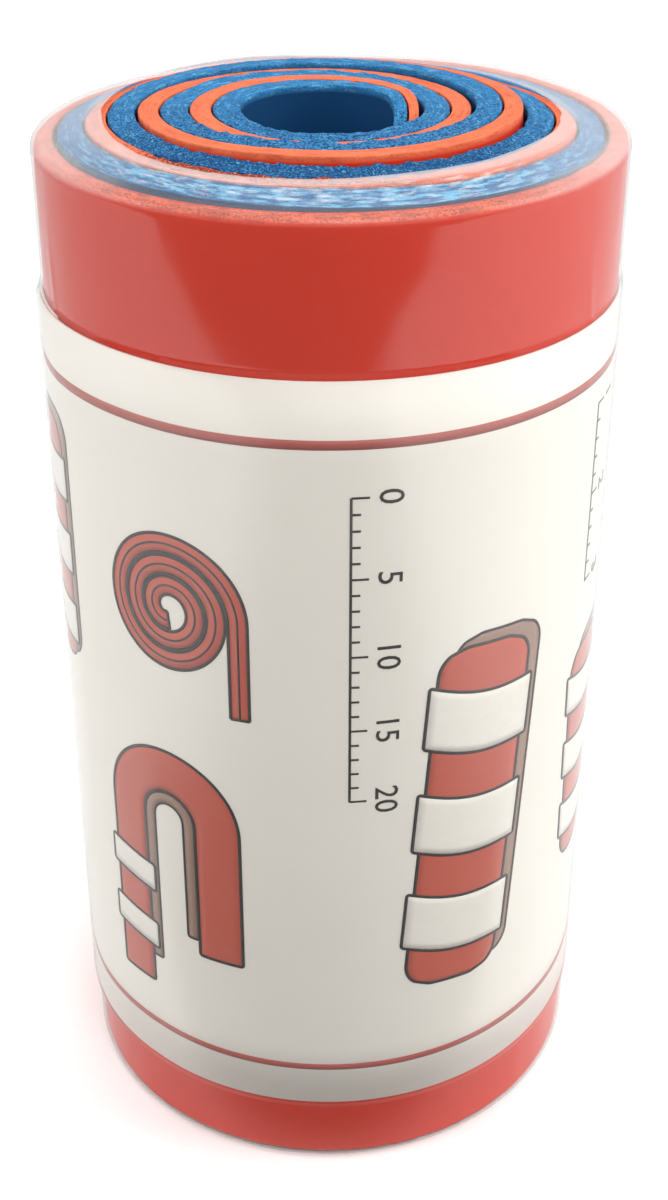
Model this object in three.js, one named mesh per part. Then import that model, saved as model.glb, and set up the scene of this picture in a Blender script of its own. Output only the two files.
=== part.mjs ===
// An aluminium foam splint, wound into a roll and wrapped as it is stored, standing on one end.
// The splint is one long strip: a soft aluminium sheet between two layers of closed-cell foam, blue on
// the inside of the roll and orange on the outside. A printed paper label goes once round the roll and
// laps over itself, and a clear shrink film holds all of it and folds over the rims at both ends.
// Millimetres and degrees, +Z up along the roll, +X to the right of its front, which faces -Y.
import * as THREE from "three";

// The strip, laid flat
const stripLength = 500;
const stripWidth = 110;
const stripCorner = 8; // radius of its four corners
const orangeFoam = 1.9;
const blueFoam = 2.5;
const coreSheet = 0.4;
const coreInset = 1.5; // the sheet stops this far inside the foam's cut edge
const bondGap = 0.05; // between the sheet and each foam
const edgeRound = 0.8; // the orange foam's outer edge, rounded by the film
const endThickness = 0.5; // share of the foam's thickness left where the die pinched the strip's ends
const pinchLength = 22;

// The roll
const hollowRadius = 4.65; // of the free space that the strip starts to wind round
const windingGap = 0.15; // between one turn and the next
const innerEndAngle = -27; // where the strip starts, counterclockwise from +X, seen from above
const telescoping = 2.4; // the inner turns stand this far above the outer one
const level = 0.4; // turns, back from the outer end of the strip, that stand on the ground
const levelToRaised = 2; // turns over which the strip then climbs

// The wrapping
const wrapGap = 0.1; // between foam, label and film
const labelThickness = 0.2;
const labelHeight = 86.8;
const labelFromTop = 14.6;
const labelOverlap = 8;
const labelSeamAngle = 193; // the edge of the upper sheet, just out of sight at the left
const labelRamp = 12; // length over which the upper sheet comes down to the roll
const filmThickness = 0.15;
const filmLap = 6.3; // how far the film folds over each end of the roll
const filmStep = 1; // length over which the film comes down beside the label

// How finely curves are cut
const angleStep = 7.5;
const cornerSteps = 6;
const rimSteps = 3;
const lapSteps = 8;

const radians = THREE.MathUtils.degToRad;
const stripThickness = blueFoam + bondGap + coreSheet + bondGap + orangeFoam;
const growth = (stripThickness + windingGap) / (2 * Math.PI); // of the radius, for each radian wound
const coreStart = hollowRadius + blueFoam + bondGap + coreSheet / 2;

// The radius that the sheet's middle winds along, and the length that is wound, at an angle from its start
const coreRadius = (wound) => coreStart + growth * wound;
const woundLength = (wound) => coreStart * wound + (growth * wound ** 2) / 2;
const woundAngle = (length) => (Math.sqrt(coreStart ** 2 + 2 * growth * length) - coreStart) / growth;

const orangeInner = coreSheet / 2 + bondGap; // from the sheet's middle
const orangeOuter = orangeInner + orangeFoam;
const outerEnd = coreRadius(woundAngle(stripLength));
const rollRadius = outerEnd + orangeOuter;

// How far the turn whose sheet lies at this radius stands above the outer one
function rise(radius) {
  const turnsBack = (outerEnd - radius) / growth / (2 * Math.PI);
  return telescoping * THREE.MathUtils.smoothstep(turnsBack, level, level + levelToRaised);
}

// A closed solid through sections that all hold as many points, in order round each section
function loft(sections, isRing) {
  const sides = sections[0].length;
  const positions = sections.flat().flatMap((point) => point.toArray());
  const faces = [];
  const last = isRing ? sections.length : sections.length - 1;
  for (let i = 0; i < last; i++) {
    const near = i * sides;
    const far = ((i + 1) % sections.length) * sides;
    for (let side = 0; side < sides; side++) {
      const next = (side + 1) % sides;
      faces.push(near + side, near + next, far + next, near + side, far + next, far + side);
    }
  }
  const end = (sections.length - 1) * sides;
  for (let side = 1; !isRing && side < sides - 1; side++) {
    faces.push(0, side + 1, side, end, end + side, end + side + 1);
  }
  return new THREE.BufferGeometry()
    .setAttribute("position", new THREE.Float32BufferAttribute(positions, 3))
    .setIndex(faces)
    .toNonIndexed();
}

// The lengths along the strip at which a rounded corner of a sheet that is inset from the cut edge is cut
function cornerLengths(inset) {
  const radius = Math.max(stripCorner - inset, 0);
  const steps = Array.from({ length: cornerSteps + 1 }, (_, i) => i / cornerSteps);
  const fromEnd = steps.map((share) => inset + radius * (1 - Math.cos((share * Math.PI) / 2)));
  return [...fromEnd, ...fromEnd.map((length) => stripLength - length)];
}

// Every layer of the strip is cut at the same angles, so that their faces lie on each other
function stationAngles() {
  const exact = [...cornerLengths(0), ...cornerLengths(coreInset)].map(woundAngle);
  const closest = radians(angleStep) / 5;
  const regular = [];
  const start = radians(innerEndAngle);
  const turnsEnd = start + woundAngle(stripLength);
  for (let i = Math.ceil(start / radians(angleStep)); i * radians(angleStep) < turnsEnd; i++) {
    const wound = i * radians(angleStep) - start;
    if (exact.every((angle) => Math.abs(angle - wound) > closest)) regular.push(wound);
  }
  return [...new Set([...exact, ...regular])].sort((a, b) => a - b);
}

// How far the rounded corner takes the edge of a sheet down at a length from its nearer end
function cornerDrop(fromEnd, inset) {
  const radius = Math.max(stripCorner - inset, 0);
  const short = Math.max(radius - (fromEnd - inset), 0);
  return inset + radius - Math.sqrt(Math.max(radius ** 2 - short ** 2, 0));
}

// The share of the foam's thickness that is left at a length from an end
function pinch(fromEnd) {
  return endThickness + (1 - endThickness) * THREE.MathUtils.smoothstep(fromEnd, 0, pinchLength);
}

// The radius of the sheet's middle. Each end is thinner, and lies against the turn beside it.
function sheetRadius(wound) {
  const length = woundLength(wound);
  const innerEndMoved = (1 - pinch(length)) * orangeFoam;
  const outerEndMoved = (1 - pinch(stripLength - length)) * blueFoam;
  return coreRadius(wound) + innerEndMoved - outerEndMoved;
}

// One layer of the wound strip. The layer's faces lie at two distances from the sheet's middle, inwards
// below 0. A foam is thinner where the ends are pinched, and its outer edges may be cut off.
function woundLayer({ inner, outer, inset = 0, chamfer = 0, isFoam = true }) {
  const sections = [];
  const slack = 1e-6;
  for (const wound of stationAngles()) {
    const fromEnd = Math.min(woundLength(wound), stripLength - woundLength(wound));
    if (fromEnd < inset - slack) continue;
    const drop = cornerDrop(Math.max(fromEnd, inset), inset);
    const thin = (distance) => {
      const face = Math.sign(distance) * orangeInner;
      return isFoam ? face + (distance - face) * pinch(fromEnd) : distance;
    };
    const angle = radians(innerEndAngle) + wound;
    const at = (distance, z) => {
      const radius = sheetRadius(wound) + distance;
      const up = z + rise(coreRadius(wound));
      return new THREE.Vector3(radius * Math.cos(angle), radius * Math.sin(angle), up);
    };
    const [near, far] = [thin(inner), thin(outer)];
    const [low, high] = [drop, stripWidth - drop];
    const cut = Math.min(chamfer, (far - near) / 2);
    const outside = cut
      ? [at(far - cut, high), at(far, high - cut), at(far, low + cut), at(far - cut, low)]
      : [at(far, high), at(far, low)];
    sections.push([at(near, low), at(near, high), ...outside]);
  }
  return loft(sections, false);
}

// The taut line round the roll: the convex hull of the orange foam's outer face, counterclockwise
function hullOfRoll() {
  const points = stationAngles().map((wound) => {
    const fromEnd = Math.min(woundLength(wound), stripLength - woundLength(wound));
    const radius = sheetRadius(wound) + orangeInner + orangeFoam * pinch(fromEnd);
    const angle = radians(innerEndAngle) + wound;
    return new THREE.Vector2(radius * Math.cos(angle), radius * Math.sin(angle));
  });
  points.sort((a, b) => a.x - b.x || a.y - b.y);
  const turnsLeft = (a, b, c) => b.clone().sub(a).cross(c.clone().sub(a)) > 1e-9;
  const chain = (ordered) => {
    const kept = [];
    for (const point of ordered) {
      while (kept.length > 1 && !turnsLeft(kept.at(-2), kept.at(-1), point)) kept.pop();
      kept.push(point);
    }
    return kept.slice(0, -1);
  };
  return [...chain(points), ...chain([...points].reverse())];
}

const hull = hullOfRoll();

// The outward direction at a corner of the taut line, as long as a step of 1 away from both its sides
function mitre(index) {
  const [before, here, after] = [-1, 0, 1].map((step) => hull.at((index + step) % hull.length));
  const outward = (from, to) => new THREE.Vector2(to.y - from.y, from.x - to.x).normalize();
  const [first, second] = [outward(before, here), outward(here, after)];
  return first.clone().add(second).divideScalar(1 + first.dot(second));
}

// The corners of the taut line with their turning angle from the label's seam, 0 up to a whole turn
const wrapStations = hull
  .map((corner, index) => ({
    corner,
    outward: mitre(index),
    turned: THREE.MathUtils.euclideanModulo(corner.angle() - radians(labelSeamAngle), 2 * Math.PI),
  }))
  .sort((a, b) => a.turned - b.turned);

// A station of the taut line at any turning angle, between its corners
function wrapStation(turned) {
  const whole = 2 * Math.PI;
  const wrapped = THREE.MathUtils.euclideanModulo(turned, whole);
  const next = wrapStations.findIndex((station) => station.turned >= wrapped);
  const after = wrapStations[next < 0 ? 0 : next];
  const before = wrapStations.at(next < 0 ? -1 : next - 1);
  const ray = new THREE.Vector2(1, 0).rotateAround(new THREE.Vector2(), radians(labelSeamAngle) + turned);
  const side = after.corner.clone().sub(before.corner);
  const share = ray.cross(before.corner) / -ray.cross(side);
  return {
    corner: before.corner.clone().addScaledVector(side, share),
    outward: before.outward.clone().lerp(after.outward, share),
    turned,
  };
}

// How far the label's upper sheet is lifted by the lower one, at a turning angle past the seam
function labelLift(turned, edgeRamp) {
  const overlap = labelOverlap / rollRadius;
  const ramp = labelRamp / rollRadius;
  const down = 1 - THREE.MathUtils.clamp((turned - overlap) / ramp, 0, 1);
  const up = edgeRamp ? THREE.MathUtils.clamp((turned - 2 * Math.PI + edgeRamp) / edgeRamp, 0, 1) : 0;
  return (labelThickness + wrapGap) * Math.max(down, up);
}

const labelTop = stripWidth - labelFromTop;
const labelBottom = labelTop - labelHeight;

// The label starts with its upper sheet at the seam, goes once round, and ends under itself
function label() {
  const overlap = labelOverlap / rollRadius;
  const ramp = labelRamp / rollRadius;
  const extra = [0, overlap, overlap + ramp, 2 * Math.PI, 2 * Math.PI + overlap];
  const close = radians(angleStep) / 5;
  const onCorners = [...wrapStations, ...wrapStations.map((s) => ({ ...s, turned: s.turned + 2 * Math.PI }))]
    .filter(({ turned }) => turned < 2 * Math.PI + overlap)
    .filter(({ turned }) => extra.every((angle) => Math.abs(angle - turned) > close));
  const stations = [...onCorners, ...extra.map(wrapStation)].sort((a, b) => a.turned - b.turned);
  const sections = stations.map(({ corner, outward, turned }) => {
    const near = wrapGap + labelLift(turned, 0);
    const at = (distance, z) => {
      const point = corner.clone().addScaledVector(outward, distance);
      return new THREE.Vector3(point.x, point.y, z);
    };
    const far = near + labelThickness;
    return [at(near, labelBottom), at(near, labelTop), at(far, labelTop), at(far, labelBottom)];
  });
  return loft(sections, false);
}

// The film's inner face from the lower opening up to the upper one, as distances outwards from the foam
function filmProfile(lift) {
  const overLabel = wrapGap + labelThickness + wrapGap + lift;
  const rim = (isTop) =>
    Array.from({ length: rimSteps + 1 }, (_, i) => {
      const turn = ((i / rimSteps) * Math.PI) / 2;
      const out = (edgeRound + wrapGap) * (isTop ? Math.cos(turn) : Math.sin(turn)) - edgeRound;
      const up = (edgeRound + wrapGap) * (isTop ? Math.sin(turn) : -Math.cos(turn));
      return { out, z: isTop ? stripWidth - edgeRound + up : edgeRound + up };
    });
  const lap = Array.from({ length: lapSteps }, (_, i) => ({
    out: THREE.MathUtils.lerp(-edgeRound, -filmLap, (i + 1) / lapSteps),
    z: stripWidth + wrapGap,
  }));
  return [
    { out: -filmLap, z: -wrapGap },
    ...rim(false),
    { out: wrapGap, z: labelBottom - filmStep },
    { out: overLabel, z: labelBottom },
    { out: overLabel, z: labelTop },
    { out: wrapGap, z: labelTop + filmStep },
    ...rim(true),
    ...lap,
  ];
}

// The same profile, moved out by the film's thickness
function movedOut(profile, distance) {
  return profile.map((here, index) => {
    const before = profile[Math.max(index - 1, 0)];
    const after = profile[Math.min(index + 1, profile.length - 1)];
    const [first, second] = [
      [before, here],
      [here, after],
    ]
      .map(([from, to]) => new THREE.Vector2(to.z - from.z, from.out - to.out))
      .map((side, i, sides) => (side.length() > 0 ? side : sides[1 - i].clone()).normalize());
    const step = first.clone().add(second).divideScalar(1 + first.dot(second));
    return { out: here.out + step.x * distance, z: here.z + step.y * distance };
  });
}

function film() {
  const sections = wrapStations.map(({ corner, outward, turned }) => {
    const inner = filmProfile(labelLift(turned, radians(angleStep)));
    const outer = movedOut(inner, filmThickness);
    return [...inner, ...outer.reverse()].map(({ out, z }) => {
      const point = corner.clone().addScaledVector(outward, out);
      const up = z > labelTop ? rise(point.length() - stripThickness / 2) : 0;
      return new THREE.Vector3(point.x, point.y, z + up);
    });
  });
  return loft(sections, true);
}

const material = (color, roughness, metalness = 0) =>
  new THREE.MeshStandardMaterial({ color, roughness, metalness });

function piece(name, geometry, finish) {
  geometry.computeVertexNormals();
  const mesh = new THREE.Mesh(geometry, finish);
  mesh.name = name;
  return mesh;
}

const roll = new THREE.Group();
roll.add(
  piece(
    "orange_foam",
    woundLayer({ inner: orangeInner, outer: orangeOuter, chamfer: edgeRound }),
    material(0xd8492f, 0.6),
  ),
  piece(
    "aluminium_core",
    woundLayer({ inner: -coreSheet / 2, outer: coreSheet / 2, inset: coreInset, isFoam: false }),
    material(0xb9bcc0, 0.35, 1),
  ),
  piece("blue_foam", woundLayer({ inner: -orangeInner - blueFoam, outer: -orangeInner }), material(0x2470a8, 0.8)),
  piece("paper_label", label(), material(0xf3f0ea, 0.5)),
  piece("shrink_film", film(), material(0xffffff, 0.1)),
);

// The roll stands with the middle of its box on the origin
const box = new THREE.Box3().setFromObject(roll);
const middle = box.getCenter(new THREE.Vector3());
roll.position.set(-middle.x, -middle.y, -box.min.z);

const splint = new THREE.Group();
splint.name = "aluminium_foam_splint";
splint.add(roll);

export default splint;
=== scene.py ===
"""An aluminium foam splint, rolled up, with a printed label round it under clear shrink film."""

import math

import bpy
import numpy as np
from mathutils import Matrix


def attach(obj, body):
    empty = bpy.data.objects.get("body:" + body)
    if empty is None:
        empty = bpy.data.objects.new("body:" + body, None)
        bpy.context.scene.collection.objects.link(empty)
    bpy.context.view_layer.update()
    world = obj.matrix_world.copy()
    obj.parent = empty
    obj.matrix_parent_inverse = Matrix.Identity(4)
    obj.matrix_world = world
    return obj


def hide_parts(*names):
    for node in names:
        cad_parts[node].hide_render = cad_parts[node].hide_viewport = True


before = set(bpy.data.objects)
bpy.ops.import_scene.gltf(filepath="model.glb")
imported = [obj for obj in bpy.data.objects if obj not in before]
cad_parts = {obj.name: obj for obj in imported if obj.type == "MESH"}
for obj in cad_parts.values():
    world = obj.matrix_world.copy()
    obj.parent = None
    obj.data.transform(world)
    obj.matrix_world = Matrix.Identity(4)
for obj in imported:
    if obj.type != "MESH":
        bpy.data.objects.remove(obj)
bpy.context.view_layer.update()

bl_info = {
    "name": "Rolled foam splint",
    "version": (1, 0, 0),
    "blender": (4, 5, 0),
    "location": "View3D > Sidebar > Splint",
    "description": "Builds a rolled aluminium foam splint with its label and shrink film",
    "category": "Add Mesh",
}

MM = 0.001
TURN = 2 * math.pi

# The edge of the label's upper sheet, just out of sight at the left
LABEL_SEAM = math.radians(193)

# Round radii in millimetres that turn a length round the label or the film into an angle
PRINT_RADIUS = 29.1
FILM_RADIUS = 29

# How far each layer of ink stands on the paper, in millimetres, so that no two share a place
INK_FOOT = -0.01
BACK_FILL, BACK_LINE = 0.018, 0.028
PLAIN_FILL, BAND_FILL = 0.02, 0.03
FRONT_FILL, FRONT_LINE = 0.038, 0.048
THIN_LINE = 0.045
STRAP_FILL, STRAP_LINE = 0.06, 0.074

# The camera was fitted to the photo's outline: its height and focal length in the photo's pixels
PHOTO_HEIGHT = 1200
FOCAL_PIXELS = 1772


# Sizes and colours


def linear(hex_colour):
    """The linear colour of an sRGB hex value, such as E2573A."""
    srgb = [int(hex_colour[i : i + 2], 16) / 255 for i in (0, 2, 4)]
    return tuple(c / 12.92 if c <= 0.04045 else ((c + 0.055) / 1.055) ** 2.4 for c in srgb)


def length(name, millimetres, description):
    return bpy.props.FloatProperty(
        name=name,
        description=description,
        default=millimetres * MM,
        min=0.0,
        precision=5,
        subtype="DISTANCE",
        unit="LENGTH",
    )


def colour(name, hex_colour, description):
    return bpy.props.FloatVectorProperty(
        name=name,
        description=description,
        default=linear(hex_colour),
        min=0.0,
        max=1.0,
        size=3,
        subtype="COLOR",
    )


class SplintSizes(bpy.types.PropertyGroup):
    """The sizes of the strip, the roll and its wrapping. They match the frame's solids."""

    strip_length: length("Strip length", 500, "Length of the strip laid flat")
    strip_width: length("Strip width", 110, "Width of the strip, which is the roll's height")
    strip_corner: length("Corner radius", 8, "Radius of the strip's corners")
    orange_foam: length("Orange foam", 1.9, "Thickness of the outer foam")
    blue_foam: length("Blue foam", 2.5, "Thickness of the inner foam")
    core_sheet: length("Aluminium sheet", 0.4, "Thickness of the sheet in the middle")
    core_inset: length("Sheet inset", 1.5, "How far the sheet stops inside the cut edge")
    bond_gap: length("Bond gap", 0.05, "Between the sheet and each foam")
    pinch_length: length("Pinch length", 22, "Length over which the ends thin out")
    hollow_radius: length("Hollow radius", 4.65, "Of the free space that the strip winds round")
    winding_gap: length("Winding gap", 0.15, "Between one turn and the next")
    telescoping: length("Telescoping", 2.4, "How far the inner turns stand above the outer one")
    wrap_gap: length("Wrap gap", 0.1, "Between foam, label and film")
    label_thickness: length("Label thickness", 0.2, "Thickness of the paper")
    label_height: length("Label height", 86.8, "Height of the label")
    label_from_top: length("Label from top", 14.6, "From the roll's rim down to the label")
    label_overlap: length("Label overlap", 8, "How far the label laps over itself")
    film_thickness: length("Film thickness", 0.15, "Thickness of the shrink film")
    film_lap: length("Film lap", 6.3, "How far the film folds over each end")


class SplintColours(bpy.types.PropertyGroup):
    """The colours of the materials."""

    orange_skin: colour("Orange skin", "D0331B", "Smooth face of the orange foam")
    orange_cut: colour("Orange cut edge", "EC7650", "Cut edge of the orange foam")
    # Painted shade in the pores of the cut edge; the orange foam's frayed strokes use this colour too
    orange_pore_shade: colour("Orange pores", "86301C", "Pores and frayed bits of the orange edge")
    blue_skin: colour("Blue skin", "0D3F6B", "Smooth face of the blue foam")
    blue_cut: colour("Blue cut edge", "2F7DB4", "Cut edge of the blue foam")
    # Painted shade in the pores of the cut edge
    blue_pore_shade: colour("Blue pores", "12426E", "Pores and frayed bits of the blue edge")
    # Painted highlight: the pale colour of torn cell walls where they catch the light
    blue_fibre_highlight: colour("Blue cell walls", "6FB4D6", "Torn cell walls that catch the light")
    paper: colour("Paper", "F3EEE4", "The label's paper")
    red_ink: colour("Red ink", "C85842", "Filled shapes on the label")
    line_ink: colour("Line ink", "B4564C", "The two lines round the label")
    taupe_ink: colour("Taupe ink", "A0806F", "Filled shapes on the label")
    dark_ink: colour("Dark ink", "241F1D", "Outlines and numbers on the label")


# The roll, in millimetres and radians


class Roll:
    """The strip's spiral, and the taut line round it, worked out from the sizes.

    The sheet's radius grows evenly with the angle wound, so the length wound is a quadratic of it.
    """

    inner_end = math.radians(-27)
    end_thickness = 0.5

    # The rise, by turns inside the outer end: level at first, then raised, with one turn settled back
    level = 0.4
    level_to_raised = 2.0
    settling = 0.6
    early_climb = 0.6

    def __init__(self, sizes):
        for name in SplintSizes.__annotations__:
            setattr(self, name, getattr(sizes, name) / MM)
        self.orange_inner = self.core_sheet / 2 + self.bond_gap
        self.orange_outer = self.orange_inner + self.orange_foam
        self.blue_inner = self.orange_inner + self.blue_foam
        self.strip_thickness = self.orange_outer + self.blue_inner
        self.growth = (self.strip_thickness + self.winding_gap) / TURN
        self.core_start = self.hollow_radius + self.blue_inner
        self.outer_end = self.core_radius(self.wound_angle(self.strip_length))
        self.film_foot = self.wrap_gap + self.film_thickness
        self.trace_taut_line()

    def core_radius(self, wound):
        return self.core_start + self.growth * wound

    def wound_length(self, wound):
        return self.core_start * wound + self.growth * wound**2 / 2

    def wound_angle(self, run):
        root = np.sqrt(self.core_start**2 + 2 * self.growth * run)
        return (root - self.core_start) / self.growth

    def pinch(self, from_end):
        """The share of the foam's thickness that is left at a length from an end."""
        share = np.clip(from_end / self.pinch_length, 0, 1)
        return self.end_thickness + (1 - self.end_thickness) * share * share * (3 - 2 * share)

    def sheet_radius(self, run):
        """The radius of the sheet's middle. Each end is thinner, and lies against the turn beside it."""
        inner_end_moved = (1 - self.pinch(run)) * self.orange_foam
        outer_end_moved = (1 - self.pinch(self.strip_length - run)) * self.blue_foam
        return self.core_radius(self.wound_angle(run)) + inner_end_moved - outer_end_moved

    def turns_back(self, radius):
        """How many turns inside the strip's outer end a turn lies, by its sheet's radius."""
        return (self.outer_end - radius) / self.growth / TURN

    def rise(self, radius):
        """How far the turn whose sheet lies at this radius stands above the outer one."""
        turns_back = self.turns_back(radius)
        share = np.clip((turns_back - self.level) / self.level_to_raised, 0, 1)
        settled = self.settling * smooth(turns_back, 2.55, 3.0) * (1 - smooth(turns_back, 3.5, 3.95))
        return self.telescoping * share * share * (3 - 2 * share) - settled

    def sheared(self, radius, angle):
        """The rise of a place on the cut edges. In front, the outer turn climbs early to the next one."""
        turns = self.turns_back(radius)
        early = self.early_climb * smooth(turns, 0.5, 1.0) * (1 - smooth(turns, 1.0, 1.6))
        return self.rise(radius) + early * front_of(angle, 2.2)

    def corner_drop(self, from_end, inset):
        """How far a rounded corner takes the edge down: the missing part of a circle's height."""
        radius = max(self.strip_corner - inset, 0)
        short = np.clip(radius - (from_end - inset), 0, radius)
        return inset + radius - np.sqrt(radius**2 - short**2)

    def trace_taut_line(self):
        """The convex hull of the roll as radii from its axis.

        The hull's reach in each direction is the furthest point along it. The taut line's radius
        at an angle is the least, over all directions, of that reach divided by the cosine between.
        """
        run = np.linspace(0, self.strip_length, 4000)
        angle = self.inner_end + self.wound_angle(run)
        foam = self.orange_foam * self.pinch(np.minimum(run, self.strip_length - run))
        radius = self.sheet_radius(run) + self.orange_inner + foam
        x, y = radius * np.cos(angle), radius * np.sin(angle)
        away = np.linspace(0, TURN, 1441)
        reach = (np.outer(np.cos(away), x) + np.outer(np.sin(away), y)).max(axis=1)
        between = np.cos(away[:, None] - away[None, :])
        ratio = np.where(between > 0.2, reach[None, :] / np.maximum(between, 0.2), np.inf)
        self.taut_angles, self.taut_radii = away, ratio.min(axis=1)
        rim = np.stack([self.taut_radii * np.cos(away), self.taut_radii * np.sin(away)])
        self.middle = (rim.max(axis=1) + rim.min(axis=1)) / 2

    def taut(self, angle):
        return np.interp(np.mod(angle, TURN), self.taut_angles, self.taut_radii)

    def place(self, radius, angle, up):
        """Points in metres in the row's frame, from a radius, an angle and a height on the roll."""
        x = radius * np.cos(angle) - self.middle[0]
        y = radius * np.sin(angle) - self.middle[1]
        z = up + self.film_foot
        return np.stack(np.broadcast_arrays(x, y, z), axis=-1) * MM


# Surfaces


def grain(u, v, seed, round_cells=256):
    """Smooth noise from -1 to 1: random values at whole u and v, blended between with a smooth step.

    It repeats after round_cells along u, so that noise round a ring closes on itself.
    """
    cells = 256
    lattice = np.random.default_rng(seed).uniform(-1, 1, (cells, cells))
    u, v = np.broadcast_arrays(u, v)
    i, j = np.floor(u).astype(int), np.floor(v).astype(int)
    f, g = u - i, v - j
    f, g = f * f * (3 - 2 * f), g * g * (3 - 2 * g)
    here, there = i % round_cells % cells, (i + 1) % round_cells % cells
    low, high = j % cells, (j + 1) % cells
    bottom = lattice[here, low] * (1 - f) + lattice[there, low] * f
    top = lattice[here, high] * (1 - f) + lattice[there, high] * f
    return bottom * (1 - g) + top * g


def smooth(value, low, high):
    """0 below low and 1 above high, with a smooth step between."""
    share = np.clip((value - low) / (high - low), 0, 1)
    return share * share * (3 - 2 * share)


def right_of_front(angle):
    """How far an angle lies to the right of the front, where the roll faces -Y: from -pi to pi."""
    return np.mod(angle + math.pi / 2 + math.pi, TURN) - math.pi


def front_of(angle, half_width):
    """1 in front, falling to 0 at an angle to either side."""
    away = np.abs(right_of_front(angle))
    return 1 - smooth(away, half_width * 0.4, half_width)


def grid_piece(name, points, finish, slot, is_ring=False, is_tube=True, **marks):
    """A mesh over a grid of points: rows along the piece, columns round its section.

    A tube's columns close on themselves. A ring's rows do too, and other tubes get a face at each
    end. Marks are values for each point that the materials read as attributes.
    """
    rows, columns = points.shape[:2]
    index = np.arange(rows * columns).reshape(rows, columns)
    if is_ring:
        index = np.vstack([index, index[:1]])
    if is_tube:
        index = np.hstack([index, index[:, :1]])
    corners = [index[:-1, :-1], index[:-1, 1:], index[1:, 1:], index[1:, :-1]]
    quads = np.stack(corners, axis=-1).reshape(-1, 4)
    ends = [] if is_ring else [index[0, :columns][::-1].tolist(), index[rows - 1, :columns].tolist()]
    mesh = bpy.data.meshes.new(name)
    mesh.from_pydata(points.reshape(-1, 3), [], quads.tolist() + ends)
    mesh.polygons.foreach_set("use_smooth", np.ones(len(mesh.polygons), dtype=bool))
    for mark, values in marks.items():
        layer = mesh.attributes.new(mark, "FLOAT", "POINT")
        full = np.broadcast_to(values, (rows, columns)).astype(np.float32)
        layer.data.foreach_set("value", full.ravel())
    mesh.materials.append(finish)
    mesh.update()
    return riding(name, mesh)


def riding(name, mesh):
    """A finished mesh as a visible piece that rides on the roll's one body."""
    piece = bpy.data.objects.new(name, mesh)
    bpy.context.scene.collection.objects.link(piece)
    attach(piece, "root")
    return piece


# Materials


def add(tree, kind, links=(), **settings):
    """Adds a node of a kind, sets its properties or inputs by name, and links its inputs."""
    node = tree.nodes.new(kind)
    for name, value in settings.items():
        if hasattr(node, name):
            setattr(node, name, value)
        else:
            node.inputs[name.replace("_", " ")].default_value = value
    for target, source in dict(links).items():
        tree.links.new(source, node.inputs[target])
    return node


def new_material(name):
    made = bpy.data.materials.new(name)
    made.use_nodes = True
    made.node_tree.nodes.clear()
    return made, made.node_tree


def close(tree, shader):
    add(tree, "ShaderNodeOutputMaterial", {"Surface": shader.outputs[0]})


def mark(tree, name):
    return add(tree, "ShaderNodeAttribute", attribute_name=name).outputs["Fac"]


def flat_colour(values):
    return (*values, 1.0)


def grey(value):
    return flat_colour((value, value, value))


def darker(colour, share):
    return flat_colour(c * share for c in colour[:3])


def blend(tree, factor, first, second):
    """Mixes two colours, each a value or an output, by a factor's output."""
    node = add(tree, "ShaderNodeMix", data_type="RGBA")
    tree.links.new(factor, node.inputs[0])
    for socket, value in ((node.inputs[6], first), (node.inputs[7], second)):
        if isinstance(value, tuple):
            socket.default_value = value
        else:
            tree.links.new(value, socket)
    return node.outputs[2]


def ramp(tree, factor, low, high):
    """0 below low and 1 above high, with a smooth step between."""
    node = add(tree, "ShaderNodeMapRange", {"Value": factor}, interpolation_type="SMOOTHSTEP")
    node.inputs["From Min"].default_value = low
    node.inputs["From Max"].default_value = high
    return node.outputs["Result"]


def maths(tree, operation, *values):
    node = add(tree, "ShaderNodeMath", operation=operation)
    for socket, value in zip(node.inputs, values):
        if isinstance(value, (int, float)):
            socket.default_value = value
        else:
            tree.links.new(value, socket)
    return node.outputs[0]


def noise(tree, vector, size_mm, detail=2.0, roughness=0.5):
    """Noise whose blobs are about this size."""
    made = add(
        tree,
        "ShaderNodeTexNoise",
        {"Vector": vector},
        Scale=1 / (size_mm * MM),
        Detail=detail,
        Roughness=roughness,
    )
    return made.outputs["Fac"]


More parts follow.
